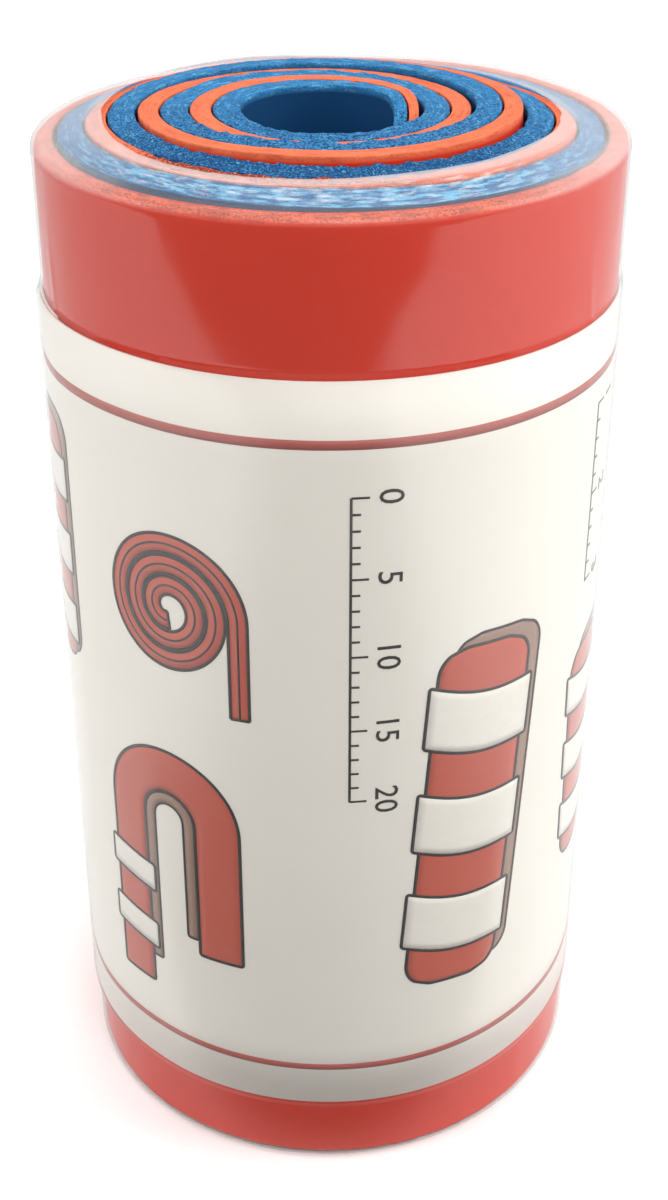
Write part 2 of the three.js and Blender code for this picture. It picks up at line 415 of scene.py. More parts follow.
def foam_material(name, skin, cut, pore_shade, fibre, fibre_share, pressed_share):
    """Closed-cell foam, sliced from a block: smooth on its faces, and open cells on the cut edge.

    Its cells are about 0.4 mm across. On a ragged edge the pores are painted dark, as painted shade
    in the open cells. Torn walls show in strokes along the strip: pale on the blue foam, a painted
    highlight where they catch the light, and dark on the orange. Under the film the edge is pressed flat.
    """
    cell = 0.42
    made, tree = new_material(name)
    place = add(tree, "ShaderNodeTexCoord").outputs["Object"]
    along, across = mark(tree, "along"), mark(tree, "across")
    stroke_place = add(tree, "ShaderNodeCombineXYZ", {"X": along, "Y": across})
    strokes = noise(tree, stroke_place.outputs[0], 1.0, 3.0, 0.6)
    cells = add(tree, "ShaderNodeTexVoronoi", {"Vector": place}, Scale=1 / (cell * MM), Randomness=1.0)
    patches = noise(tree, place, 2.4, 3.0, 0.6)
    fine = noise(tree, place, 0.22, 2.0, 0.6)
    is_cut = mark(tree, "cut")
    ragged, pressed = mark(tree, "ragged"), mark(tree, "pressed")
    # Painted shade: the pores of a ragged edge take the dark pore colour
    shaded_pits = ramp(tree, maths(tree, "MULTIPLY_ADD", ragged, 0.14, fine), 0.57, 0.73)
    shaded_pits = maths(tree, "MULTIPLY", shaded_pits, ragged)
    torn = ramp(tree, maths(tree, "MULTIPLY_ADD", pressed, 0.06, strokes), 0.5, 0.66)
    torn = maths(tree, "MULTIPLY", torn, maths(tree, "MULTIPLY_ADD", pressed, pressed_share, fibre_share))
    toned = blend(tree, ramp(tree, patches, 0.35, 0.7), cut, darker(cut, 0.82))
    toned = blend(tree, maths(tree, "MULTIPLY", pressed, 0.3), toned, skin)
    # Torn strokes: a pale painted highlight on the blue foam, the dark pore colour on the orange
    edge = blend(tree, torn, toned, fibre)
    edge = blend(tree, shaded_pits, edge, pore_shade)
    tone = blend(tree, is_cut, skin, edge)
    height = maths(tree, "ADD", maths(tree, "MULTIPLY", cells.outputs["Distance"], 0.6), fine)
    height = maths(tree, "MULTIPLY", height, is_cut)
    bump = add(tree, "ShaderNodeBump", {"Height": height}, Strength=0.6, Distance=0.0002)
    body = add(
        tree,
        "ShaderNodeBsdfPrincipled",
        {"Base Color": tone, "Normal": bump.outputs[0]},
        Roughness=0.75,
        Specular_IOR_Level=0.15,
    )
    close(tree, body)
    return made


def aluminium_material():
    """Soft aluminium sheet, cold rolled: a grey, slightly brushed edge between the foams."""
    made, tree = new_material("soft_aluminium_sheet")
    place = add(tree, "ShaderNodeTexCoord").outputs["Object"]
    brushed = noise(tree, place, 0.6, 3.0)
    tone = blend(tree, brushed, flat_colour(linear("8E9094")), flat_colour(linear("C9CBCE")))
    body = add(tree, "ShaderNodeBsdfPrincipled", {"Base Color": tone}, Metallic=1.0, Roughness=0.38)
    close(tree, body)
    return made


def paper_material(paper):
    """Machine-coated label paper: smooth and slightly warm, with faint clouding in its whiteness."""
    made, tree = new_material("coated_label_paper")
    place = add(tree, "ShaderNodeTexCoord").outputs["Object"]
    clouds = noise(tree, place, 14, 2.0)
    tone = blend(tree, clouds, darker(paper, 0.95), paper)
    fibres = noise(tree, place, 0.4, 3.0)
    bump = add(tree, "ShaderNodeBump", {"Height": fibres}, Strength=0.05, Distance=0.0001)
    body = add(
        tree, "ShaderNodeBsdfPrincipled", {"Base Color": tone, "Normal": bump.outputs[0]}, Roughness=0.45
    )
    close(tree, body)
    return made


def ink_material(name, ink):
    """Offset printing ink on coated paper: even, with a little mottle where it soaked in."""
    made, tree = new_material(name)
    place = add(tree, "ShaderNodeTexCoord").outputs["Object"]
    mottle = noise(tree, place, 0.9, 3.0)
    tone = blend(tree, mottle, darker(ink, 0.9), ink)
    body = add(tree, "ShaderNodeBsdfPrincipled", {"Base Color": tone}, Roughness=0.45)
    close(tree, body)
    return made


def film_material():
    """Clear shrink film: mirror-like at a slant, hazy where the heat gathered it over the rims.

    Its mirror share is 0.08, plus 0.92 times the fifth power of how far it faces away. Over the blue
    foam, streaks of crinkled film carry painted glints, white haze added along them, and slow ripples
    bend what the side mirrors.
    """
    made, tree = new_material("clear_shrink_film")
    place = add(tree, "ShaderNodeTexCoord").outputs["Object"]
    slant = add(tree, "ShaderNodeLayerWeight", Blend=0.5).outputs["Facing"]
    curve = maths(tree, "POWER", slant, 5.0)
    mirror = maths(tree, "MULTIPLY_ADD", curve, 0.92, 0.08)
    mirror = maths(tree, "MULTIPLY", mirror, mark(tree, "outside"))
    mirror = maths(tree, "MULTIPLY", mirror, maths(tree, "MULTIPLY_ADD", mark(tree, "rim"), -0.5, 1.0))
    ripples = noise(tree, place, 9.0, 0.5)
    crinkle = mark(tree, "crinkle")
    streak_place = add(tree, "ShaderNodeCombineXYZ", {"X": mark(tree, "along"), "Y": mark(tree, "across")})
    streaks = noise(tree, streak_place.outputs[0], 1.0, 3.0, 0.6)
    height = maths(tree, "MULTIPLY_ADD", maths(tree, "MULTIPLY", streaks, crinkle), 0.3, ripples)
    bump = add(tree, "ShaderNodeBump", {"Height": height}, Strength=0.25, Distance=0.0003)
    clear = add(tree, "ShaderNodeBsdfTransparent")
    cloudy = add(tree, "ShaderNodeBsdfPrincipled", Base_Color=grey(0.95), Roughness=0.5)
    gloss = maths(tree, "MULTIPLY_ADD", mark(tree, "rim"), 0.3, 0.09)
    shine = add(tree, "ShaderNodeBsdfGlossy", {"Normal": bump.outputs[0], "Roughness": gloss})
    cloud = maths(tree, "MULTIPLY_ADD", noise(tree, place, 3.0, 2.0, 0.5), 0.5, 0.75)
    haze = maths(tree, "MULTIPLY", mark(tree, "haze"), cloud)
    # Painted glints: white haze added along the crinkle streaks over the blue foam
    painted_glints = maths(tree, "MULTIPLY", ramp(tree, streaks, 0.5, 0.7), crinkle)
    haze = maths(tree, "MULTIPLY_ADD", painted_glints, 0.4, haze)
    sheet = add(tree, "ShaderNodeMixShader", {0: haze, 1: clear.outputs[0], 2: cloudy.outputs[0]})
    surface = add(tree, "ShaderNodeMixShader", {0: mirror, 1: sheet.outputs[0], 2: shine.outputs[0]})
    close(tree, surface)
    return made


# The strip


def strip_lengths(roll, spacing, inset):
    """Lengths along the strip, crowded at its round corners, where they are 1 - cos of even steps."""
    corner = inset + (roll.strip_corner - inset) * (1 - np.cos(np.linspace(0, math.pi / 2, 36)))
    count = int((roll.strip_length - 2 * roll.strip_corner) / spacing)
    middle = np.linspace(roll.strip_corner, roll.strip_length - roll.strip_corner, count)[1:-1]
    return np.concatenate([corner, middle, (roll.strip_length - corner)[::-1]])


def foam_section(thickness, round_in, round_out, columns):
    """Half of a foam layer's section: shares across from the inner face, and depths below the cut edge.

    Each edge is a quarter circle, and the faces run down to the middle of the strip's width.
    """
    turn = np.linspace(0, math.pi / 2, 5)
    depths = np.array([0.25, 0.7, 1.4, 3.0, 8.0, 20.0, 38.0])
    across = np.concatenate(
        [
            np.zeros(len(depths)),
            round_in * (1 - np.cos(turn)),
            np.linspace(round_in, thickness - round_out, columns)[1:-1],
            thickness - round_out * (1 - np.cos(turn[::-1])),
            np.full(len(depths), thickness),
        ]
    )
    depth = np.concatenate(
        [
            (depths + round_in)[::-1],
            round_in * (1 - np.sin(turn)),
            np.zeros(columns - 2),
            round_out * (1 - np.sin(turn[::-1])),
            depths + round_out,
        ]
    )
    return across / thickness, depth


def foam_layer(roll, name, finish, inner, outer, rounds, seed, ragged_round):
    """One foam of the wound strip, as stations along the spiral by points round its section.

    A point's radius is the sheet's plus its place across the foam, thinner where the ends are pinched.
    Its height is the edge's, less its depth and the wear of the cut: smooth noise at three sizes.
    rounds holds the section's inner and outer rounding, for the free turns and for the one in the film.
    """
    station, columns = 0.3, 15
    run = strip_lengths(roll, station, 0.0)[:, None]
    from_end = np.minimum(run, roll.strip_length - run)
    angle = roll.inner_end + roll.wound_angle(run)
    core = roll.core_radius(roll.wound_angle(run))
    turns = roll.turns_back(core)
    is_blue = inner < 0
    to_core = 1 if is_blue else -1
    wrapped = 1 - smooth(turns, 0.8, 1.2)
    sharp_share, sharp_depth = foam_section(outer - inner, *rounds[0], columns)
    round_share, round_depth = foam_section(outer - inner, *rounds[1], columns)
    share = sharp_share + (round_share - sharp_share) * wrapped
    depth = sharp_depth + (round_depth - sharp_depth) * wrapped
    thin = roll.pinch(from_end)
    base = -roll.orange_inner if is_blue else roll.orange_inner
    near, far = base + (inner - base) * thin, base + (outer - base) * thin
    share, depth = np.hstack([share, share[:, ::-1]]), np.hstack([depth, depth[:, ::-1]])
    is_top = np.arange(share.shape[1]) < share.shape[1] // 2
    steps = np.hypot(np.diff(share * (outer - inner), axis=1), np.diff(depth, axis=1))
    perimeter = np.hstack([0 * run, np.cumsum(steps, axis=1)])
    pressed = (1 - smooth(turns, 0.95, 1.15)) * front_of(angle, 1.5)
    to_sheet = share if is_blue else 1 - share
    cut = (1 - smooth(depth, 0.2, 0.7)) * (1 - pressed * smooth(to_sheet, 0.9, 1.0))

    # The cut edge: waves, a ragged surface and frayed bits, strongest where the knife dragged
    dragged = ragged_round(angle, run, share)
    waves = 0.08 * grain(run / 9, perimeter / 6, seed)
    rough = 0.11 * grain(run / 1.1, perimeter / 0.5, seed + 1) * (0.1 + 0.9 * dragged)
    frayed = 0.16 * np.maximum(grain(run / 0.7, perimeter / 0.35, seed + 2), 0) * dragged
    wear = (0.1 + waves + rough + frayed) * cut
    side = 0.06 * grain(run / 1.4, perimeter / 0.9, seed + 3) * cut * (0.2 + dragged)

    # Over the sheet's edge the foams swell towards each other and nearly close
    nearly = roll.orange_inner - 0.11 - 0.14 * wrapped * (1 + front_of(angle, 1.2))
    swell = nearly * smooth(to_sheet, 0.55, 1.0) * (1 - smooth(depth, 0.9, roll.core_inset - 0.2))
    across = near + (far - near) * share + to_core * swell

    # The turns stand a little apart where the photo shows dark lines between them
    loose = smooth(turns, 1.3, 1.8) * front_of(angle - math.pi / 2 - 0.5, 1.3)
    apart = 0.05 + 0.05 * grain(run / 31, 0 * run, seed + 4) + 0.16 * loose
    apart = apart * smooth(1 - to_sheet, 0.3, 1.0) * (1 - smooth(depth, 0.5, 4.0))
    across = across + to_core * apart
    radius = roll.sheet_radius(run) + across + side * to_core * 0.5
    lower = roll.corner_drop(from_end, 0.0) + depth + wear

    # The outer turns' edges are sheared: they follow the climb to the raised turns inside them
    own = np.maximum(core + across, roll.outer_end - 2.4 * roll.growth * TURN)
    held = 0.5 * smooth(turns, 1.0, 1.4) if is_blue else 0
    lean = (roll.sheared(own, angle) - roll.rise(core)) * (1 - smooth(turns, 2.0, 2.4)) * (1 - held)

    # Behind the hollow, the blue edge is tilted so that more of it shows
    behind = front_of(angle + math.pi, 1.4) * smooth(turns, 2.4, 2.7) * (1 - smooth(turns, 3.3, 3.6))
    lean = lean + (0.5 * (share - 0.3) * behind if is_blue else 0)
    lean = lean * (1 - smooth(depth, 0.5, 6.0)) * is_top
    up = np.where(is_top, roll.strip_width - lower, lower) + roll.rise(core) + lean
    points = roll.place(radius, angle, up)
    stroke_length, stroke_width = 2.6, 0.45
    marks = {
        "cut": cut,
        "ragged": dragged,
        "pressed": pressed,
        "along": run * MM / stroke_length,
        "across": perimeter * MM / stroke_width,
    }
    marks = {mark: np.broadcast_to(values, up.shape)[:, ::-1] for mark, values in marks.items()}
    return grid_piece(name, points[:, ::-1], finish, name, **marks)


# The wrapping


def label_lift(roll, turned, both_ends):
    """How far the label's upper sheet is lifted by the lower one, at an angle past the seam.

    It falls evenly over 12 mm past the overlap. The film, with both_ends, also climbs evenly to the
    seam over the last 4 degrees before it.
    """
    radius = roll.taut_radii.max()
    overlap, run_out = roll.label_overlap / radius, 12 / radius
    climb = math.radians(4)
    lift = 1 - np.clip((turned - overlap) / run_out, 0, 1)
    if both_ends:
        lift = np.maximum(lift, np.clip((turned - TURN + climb) / climb, 0, 1))
    return (roll.label_thickness + roll.wrap_gap) * lift


def label_section(roll):
    """The heights of the label's lower and upper edge above the roll's foot."""
    top = roll.strip_width - roll.label_from_top
    return top - roll.label_height, top


def on_label(roll, sideways, up, lift):
    """Points on the label, from millimetres to the right of its front and heights above the roll's foot."""
    angle = -math.pi / 2 + sideways / PRINT_RADIUS
    turned = np.mod(angle - LABEL_SEAM, TURN)
    paper = roll.taut(angle) + roll.wrap_gap + roll.label_thickness + label_lift(roll, turned, False)
    return roll.place(paper + lift, angle, up)


def printed(roll, name, finish, left, right, lift, columns=2, is_ring=False):
    """A printed shape between two outlines that run side by side, as a thin layer of ink.

    left and right are rows of sideways and up. Points between them are spaced evenly, on the ink's
    face and on its foot.
    """
    share = np.linspace(0, 1, columns)[None, :, None]
    across = left[:, None, :] * (1 - share) + right[:, None, :] * share
    top = on_label(roll, across[..., 0], across[..., 1], lift)
    foot = on_label(roll, across[..., 0], across[..., 1], INK_FOOT)
    points = np.concatenate([top, foot[:, ::-1]], axis=1)
    return grid_piece(name, points, finish, "paper_label", is_ring=is_ring)


# The label's print, in millimetres: sideways from the label's front and up from the roll's foot


def stroke(path, width, is_closed=False):
    """Two outlines either side of a path: half the width away, square to the path's direction."""
    if is_closed:
        step = np.roll(path, -1, axis=0) - np.roll(path, 1, axis=0)
    else:
        step = np.gradient(path, axis=0)
    step = step / np.linalg.norm(step, axis=1, keepdims=True)
    square = np.stack([-step[:, 1], step[:, 0]], axis=1) * width / 2
    return path + square, path - square


def resampled(path, spacing, is_closed=False):
    """The same path with points evenly spaced along it."""
    if is_closed:
        path = np.vstack([path, path[:1]])
    run = np.concatenate([[0], np.cumsum(np.linalg.norm(np.diff(path, axis=0), axis=1))])
    keep = np.concatenate([[True], np.diff(run) > 1e-9])
    run, path = run[keep], path[keep]
    count = max(int(run[-1] / spacing), 3)
    even = np.linspace(0, run[-1], count + 1)
    if is_closed:
        even = even[:-1]
    return np.stack([np.interp(even, run, path[:, 0]), np.interp(even, run, path[:, 1])], axis=1)


def band_sides(spine, width):
    """A strip drawn along a spine: its two long edges."""
    return stroke(resampled(np.asarray(spine, dtype=float), 0.5), width)


def round_path(middle, radius, start, end, points=40):
    """Part of a circle, from one angle to another in degrees."""
    turn = np.radians(np.linspace(start, end, points))
    return np.stack([middle[0] + radius * np.cos(turn), middle[1] + radius * np.sin(turn)], axis=1)


class Print:
    """Collects printed shapes and makes one piece for each ink."""

    def __init__(self, roll, inks):
        self.roll = roll
        self.inks = inks
        self.count = 0

    def fill(self, ink, left, right, lift=PLAIN_FILL):
        self.count += 1
        columns = max(int(np.linalg.norm(left - right, axis=1).max()), 1) + 1
        name = f"print_{ink}_{self.count}"
        return printed(self.roll, name, self.inks[ink], left, right, lift, columns)

    def outline(self, left, right, width=0.36, ink="dark_ink", lift=FRONT_LINE):
        """A line round the shape between two edges."""
        self.count += 1
        path = resampled(np.vstack([left, right[::-1]]), 0.25, True)
        path = (np.roll(path, 1, axis=0) + path + np.roll(path, -1, axis=0)) / 3
        sides = stroke(path, width, True)
        name = f"print_{ink}_{self.count}"
        return printed(self.roll, name, self.inks[ink], *sides, lift, 2, True)

    def line(self, path, width, ink="dark_ink", lift=THIN_LINE):
        self.count += 1
        sides = stroke(path, width)
        return printed(self.roll, f"print_{ink}_{self.count}", self.inks[ink], *sides, lift)


def number_points(text, height):
    """A plain number as a flat mesh in millimetres, from Blender's own typeface."""
    curve = bpy.data.curves.new("number", "FONT")
    curve.body = text
    curve.size = height * 1.4
    curve.align_x, curve.align_y = "CENTER", "CENTER"
    curve.resolution_u = 3
    curve.extrude = 0.5
    holder = bpy.data.objects.new("number", curve)
    bpy.context.scene.collection.objects.link(holder)
    shape = holder.evaluated_get(bpy.context.evaluated_depsgraph_get())
    mesh = bpy.data.meshes.new_from_object(shape)
    bpy.data.objects.remove(holder)
    bpy.data.curves.remove(curve)
    return mesh


def number(roll, name, finish, text, middle, height, turn):
    """A plain number printed on the label, turned by an angle, with its front and back on the paper."""
    mesh = number_points(text, height)
    flat = np.zeros(len(mesh.vertices) * 3)
    mesh.vertices.foreach_get("co", flat)
    flat = flat.reshape(-1, 3)
    c, s = math.cos(turn), math.sin(turn)
    sideways = middle[0] + flat[:, 0] * c - flat[:, 1] * s
    up = middle[1] + flat[:, 0] * s + flat[:, 1] * c
    points = on_label(roll, sideways, up, np.where(flat[:, 2] > 0, THIN_LINE, INK_FOOT))
    mesh.vertices.foreach_set("co", points.ravel())
    mesh.name = name
    mesh.materials.clear()
    mesh.materials.append(finish)
    mesh.update()
    return riding(name, mesh)


def join(name, pieces):
    """Joins several pieces of one ink into one piece."""
    with bpy.context.temp_override(active_object=pieces[0], selected_editable_objects=pieces):
        bpy.ops.object.join()
    pieces[0].name = pieces[0].data.name = name


# Operators


def roll_of(context):
    return Roll(context.scene.splint_sizes)


def colours_of(context, name):
    return flat_colour(getattr(context.scene.splint_colours, name))


class SPLINT_OT_orange_foam(bpy.types.Operator):
    """Adds the strip's orange foam, wound from the roll's hollow to its outside"""

    bl_idname = "splint.orange_foam"
    bl_label = "Orange foam"

    def execute(self, context):
        roll = roll_of(context)
        names = ("orange_skin", "orange_cut", "orange_pore_shade", "orange_pore_shade")
        colours = [colours_of(context, name) for name in names]
        finish = foam_material("orange_closed_cell_foam", *colours, fibre_share=0.35, pressed_share=0.1)

        def ragged_round(angle, run, share):
            """Torn in front and to the left on one inner turn, and roughened under the film."""
            turns = roll.turns_back(roll.core_radius(roll.wound_angle(run)))
            bare = smooth(turns, 1.1, 1.3) * (1 - smooth(turns, 1.9, 2.1)) * (1 - smooth(share, 0.6, 0.9))
            right = right_of_front(angle)
            torn = smooth(right, -1.1, -0.6) * (1 - smooth(right, 0.1, 0.7))
            return 0.12 + 0.6 * front_of(angle, 1.5) * (1 - smooth(turns, 1.0, 1.2)) + 1.3 * bare * torn

        faces = (roll.orange_inner, roll.orange_outer)
        rounds, seed = ((0.1, 0.12), (0.1, 0.8)), 11
        piece = foam_layer(roll, "orange_foam", finish, *faces, rounds, seed, ragged_round)
        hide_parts("orange_foam")
        return {"FINISHED"}


class SPLINT_OT_blue_foam(bpy.types.Operator):
    """Adds the strip's blue foam"""

    bl_idname = "splint.blue_foam"
    bl_label = "Blue foam"

    def execute(self, context):
        roll = roll_of(context)
        names = ("blue_skin", "blue_cut", "blue_pore_shade", "blue_fibre_highlight")
        colours = [colours_of(context, name) for name in names]
        finish = foam_material("blue_closed_cell_foam", *colours, fibre_share=0.55, pressed_share=0.4)

        def ragged_round(angle, run, share):
            """Ragged all round, most of all in front on the turns inside the film, where the pores' painted
            shade is thickest.
            """
            turns = roll.turns_back(roll.core_radius(roll.wound_angle(run)))
            inside = smooth(turns, 0.95, 1.15)
            # Painted shade: on the front of the turns just inside the film, more raggedness darkens more
            # pores
            worn_and_shaded = smooth(turns, 1.1, 1.3) * (1 - smooth(turns, 1.8, 2.0)) * front_of(angle, 1.4)
            return 0.35 + 0.25 * inside + 0.4 * inside * front_of(angle, 2.2) + 0.35 * worn_and_shaded

        faces = (-roll.blue_inner, -roll.orange_inner)
        rounds, seed = ((0.15, 0.1), (0.2, 0.1)), 23
        piece = foam_layer(roll, "blue_foam", finish, *faces, rounds, seed, ragged_round)
        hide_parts("blue_foam")
        return {"FINISHED"}


class SPLINT_OT_aluminium_core(bpy.types.Operator):
    """Adds the aluminium sheet between the foams, with the corners of its section broken"""

    bl_idname = "splint.aluminium_core"
    bl_label = "Aluminium core"

    def execute(self, context):
        roll = roll_of(context)
        run = strip_lengths(roll, 1.0, roll.core_inset)
        run = run[(run >= roll.core_inset) & (run <= roll.strip_length - roll.core_inset)][:, None]
        drop = roll.corner_drop(np.minimum(run, roll.strip_length - run), roll.core_inset)
        half, burr = roll.core_sheet / 2, 0.04
        across = [-half, -half + burr, half - burr, half]
        across = np.array([across + across[::-1]])
        inset = np.array([[burr, 0, 0, burr] * 2])
        is_top = np.arange(8) < 4
        low, high = drop + inset, roll.strip_width - drop - inset
        wound = roll.wound_angle(run)
        up = np.where(is_top, high, low) + roll.rise(roll.core_radius(wound))
        points = roll.place(roll.sheet_radius(run) + across, roll.inner_end + wound, up)
        piece = grid_piece("aluminium_core", points[:, ::-1], aluminium_material(), "aluminium_core")
        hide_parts("aluminium_core")
        return {"FINISHED"}


class SPLINT_OT_paper_label(bpy.types.Operator):
    """Adds the paper label, once round the roll and lapped over itself"""

    bl_idname = "splint.paper_label"
    bl_label = "Paper label"

    def execute(self, context):
        roll = roll_of(context)
        end = TURN + roll.label_overlap / roll.taut_radii.max()
        stations = 740
        turned = np.linspace(0, end, stations)[:, None]
        low, high = label_section(roll)
        heights = np.linspace(low, high, 12)
        near = roll.wrap_gap + label_lift(roll, turned, False)
        offset = np.concatenate([near + 0 * heights, near + roll.label_thickness + 0 * heights], axis=1)
        up = np.concatenate([heights, heights[::-1]])[None, :]
        radius = roll.taut(turned + LABEL_SEAM) + offset
        points = roll.place(radius, turned + LABEL_SEAM, up)
        finish = paper_material(colours_of(context, "paper"))
        piece = grid_piece("paper_label", points, finish, "paper_label")
        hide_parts("paper_label")
        flat = roll.taut_radii.mean() * end + roll.wrap_gap
        print("label length in mm", round(float(flat), 1))
        return {"FINISHED"}


class SPLINT_OT_label_print(bpy.types.Operator):
    """Prints the label: two lines round it, drawings of strips and rolls, and a plain scale"""

    bl_idname = "splint.label_print"
    bl_label = "Label print"

    def execute(self, context):
        roll = roll_of(context)
        inks = {
            name: ink_material(name, colours_of(context, name))
            for name in ("red_ink", "line_ink", "taupe_ink", "dark_ink")
        }
        inks["white_ink"] = ink_material("white_ink", colours_of(context, "paper"))
        art = Print(roll, inks)
        lines = [
            {"up": 89.3, "width": 0.95},
            {"up": 13.9, "width": 0.8},
        ]
        half_round, points = math.pi * PRINT_RADIUS, 400
        around = np.linspace(7.3 - half_round, 7.0 + half_round, points)
        made = []
        for row in lines:
            path = np.stack([around, np.full(points, row["up"])], axis=1)
            made.append(art.line(path, row["width"], "line_ink", BAND_FILL))
        made += drawn_roll(art, (-15.5, 70.0), 7.6)
        made += drawn_fold(art, (-17.0, 20.0), 30.0)
        made += drawn_strip(art, (14.5, 24.0), (17.5, 66.0), 11.0)
        made += drawn_strip(art, (-37.5, 56.0), (-37.5, 84.0), 10.0)
        made += drawn_strip(art, (37.5, 30.0), (36.5, 58.0), 10.0)
        made += drawn_scale(art, (3.0, 84.0), 34.0, ["0", "5", "10", "15", "20"])
        made += drawn_scale(art, (33.5, 86.0), 20.0, ["1", "2", "3"])
        same_ink = {name: [p for p in made if p.data.materials[0] == inks[name]] for name in inks}
        for name, pieces in same_ink.items():
            join(f"print_in_{name}", pieces)
        return {"FINISHED"}


def drawn_strip(art, foot, head, width):
    """A flat strip with three straps round it: edges along its spine, and straps across it."""
    foot, head = np.array(foot), np.array(head)
    along = (head - foot) / np.linalg.norm(head - foot)
    square = np.array([along[1], -along[0]])
    run = np.linalg.norm(head - foot)

    def spot(right, up):
        return foot + square * right + along * up

    half = width / 2
    back = np.array([1.6, 1.2])
    heights = np.linspace(0, run, 60)
    round_off = 3.0
    gap = np.maximum(round_off - np.minimum(heights, run - heights), 0)
    inward = round_off - np.sqrt(np.maximum(round_off**2 - gap**2, 0))
    left = np.array([spot(-half + i, h) for h, i in zip(heights, inward)])
    right = np.array([spot(half - i, h) for h, i in zip(heights, inward)])
    made = [
        art.fill("taupe_ink", left + back, right + back, BACK_FILL),
        art.outline(left + back, right + back, 0.3, lift=BACK_LINE),
        art.fill("red_ink", left, right, FRONT_FILL),
        art.outline(left, right),
    ]
    tall, past = run * 0.085, 0.8
    across = np.linspace(0, 1, 12)[:, None]
    for share in (0.2, 0.5, 0.8):
        start = spot(-half - past, run * share - tall + 0.8)
        end = spot(half + past, run * share - tall - 0.4)
        bottom = start * (1 - across) + end * across
        top = bottom + along * tall * 2
        bow = along * 0.9 * np.sin(across * math.pi)
        made.append(art.fill("white_ink", bottom - bow, top - bow, STRAP_FILL))
        made.append(art.outline(bottom - bow, top - bow, 0.34, lift=STRAP_LINE))
    return made


def drawn_roll(art, middle, radius):
    """A roll seen from its end: a spiral whose radius grows evenly, with the strip's tail hanging down."""
    turns, hollow, width, thin = 2.75, 1.4, 2.0, 0.32
    turn = np.linspace(0, turns * TURN, 220)
    grow = hollow + (radius - hollow) * turn / turn[-1]
    lead = turn[-1] - turn
    spiral = np.stack([middle[0] + grow * np.cos(lead), middle[1] + grow * np.sin(lead)], axis=1)
    tail = np.array([[middle[0] + radius, middle[1] - 2.0], [middle[0] + radius, middle[1] - 11.0]])
    path = resampled(np.vstack([spiral, tail]), 0.4)
    left, right = stroke(path, width)
    return [
        art.fill("red_ink", left, right),
        art.line(left, thin),
        art.line(right, thin),
        art.line(path, 0.22),
        art.line(np.stack([left[-1], right[-1]]), thin),
        art.line(np.stack([left[0], right[0]]), thin),
    ]


def drawn_fold(art, foot, tall):
    """A strip folded over at its middle, and its far side within: two legs and a half circle each."""
    x, low = foot
    legs = [
        {"ink": "red_ink", "radius": 6.0, "width": 5.2, "left": 0, "right": 7, "points": 40, "line": 0.36},
        {"ink": "taupe_ink", "radius": 2.6, "width": 1.4, "left": 4, "right": 9, "points": 30, "line": 0.26},
    ]
    made = []
    for row in legs:
        radius = row["radius"]
        bend = round_path((x, low + tall - 6), radius, 180, 0, row["points"])
        spine = np.vstack([[[x - radius, low + row["left"]]], bend, [[x + radius, low + row["right"]]]])
        sides = band_sides(spine, row["width"])
        made.append(art.fill(row["ink"], *sides, BAND_FILL))
        made.append(art.outline(*sides, row["line"]))
    across = np.linspace(0, 1, 14)[:, None]
    for up in (low + 5.5, low + 13.5):
        bottom = np.array([[x - 9.4, up + 0.6]]) * (1 - across) + np.array([[x - 2.4, up - 0.4]]) * across
        top = bottom + np.array([[0, 3.6]])
        made.append(art.fill("white_ink", bottom, top, STRAP_FILL))
        made.append(art.outline(bottom, top, 0.32, lift=STRAP_LINE))
    return made


def drawn_scale(art, top, run, numbers):
    """A measuring scale down the label: a line, ticks at even steps and plain numbers, turned a quarter."""
    x, high = top
    made = [art.line(np.array([[x, high], [x, high - run]]), 0.26)]
    step, ticks = run / (len(numbers) - 1), 5
    for i in range((len(numbers) - 1) * ticks + 1):
        up = high - i * step / ticks
        reach = 1.7 if i % ticks == 0 else 0.9
        made.append(art.line(np.array([[x, up], [x + reach, up]]), 0.22))
    for i, text in enumerate(numbers):
        art.count += 1
        name = f"print_dark_ink_{art.count}"
        middle = (x + 3.6, high - i * step)
        made.append(number(art.roll, name, art.inks["dark_ink"], text, middle, 2.4, -math.pi / 2))
    return made


# Creases that shrinking left in the film: degrees from the front, heights in millimetres, and size
CREASES = (
    {"start": (-31.0, 99.5), "end": (-26.5, 90.0), "tall": 0.09, "wide": 0.5},
    {"start": (-25.5, 92.0), "end": (-27.0, 84.0), "tall": 0.07, "wide": 0.6},
    {"start": (31.5, 108.5), "end": (32.5, 98.5), "tall": 0.10, "wide": 0.35},
    {"start": (23.5, 99.0), "end": (24.5, 90.0), "tall": 0.08, "wide": 0.5},
    {"start": (8.0, 98.0), "end": (6.5, 84.0), "tall": 0.06, "wide": 0.9},
    {"start": (-64.0, 104.0), "end": (-61.0, 92.0), "tall": 0.08, "wide": 0.6},
    {"start": (57.0, 102.0), "end": (60.0, 88.0), "tall": 0.08, "wide": 0.6},
    {"start": (120.0, 106.0), "end": (124.0, 92.0), "tall": 0.09, "wide": 0.6},
    {"start": (-133.0, 107.0), "end": (-129.0, 90.0), "tall": 0.09, "wide": 0.5},
    {"start": (176.0, 105.0), "end": (171.0, 94.0), "tall": 0.08, "wide": 0.6},
)


def crease(angle, up, start, end, tall, wide):
    """A ridge along a line on the film's side: a bell across the line, fading at both its ends."""
    share = (up - start[1]) / (end[1] - start[1])
    middle = np.radians(start[0] + (end[0] - start[0]) * np.clip(share, 0, 1)) - math.pi / 2
    away = np.abs(np.mod(angle - middle + math.pi, TURN) - math.pi) * FILM_RADIUS
    along = smooth(share, -0.1, 0.35) * (1 - smooth(share, 0.55, 1.1))
    return tall * np.exp(-((away / wide) ** 2)) * along


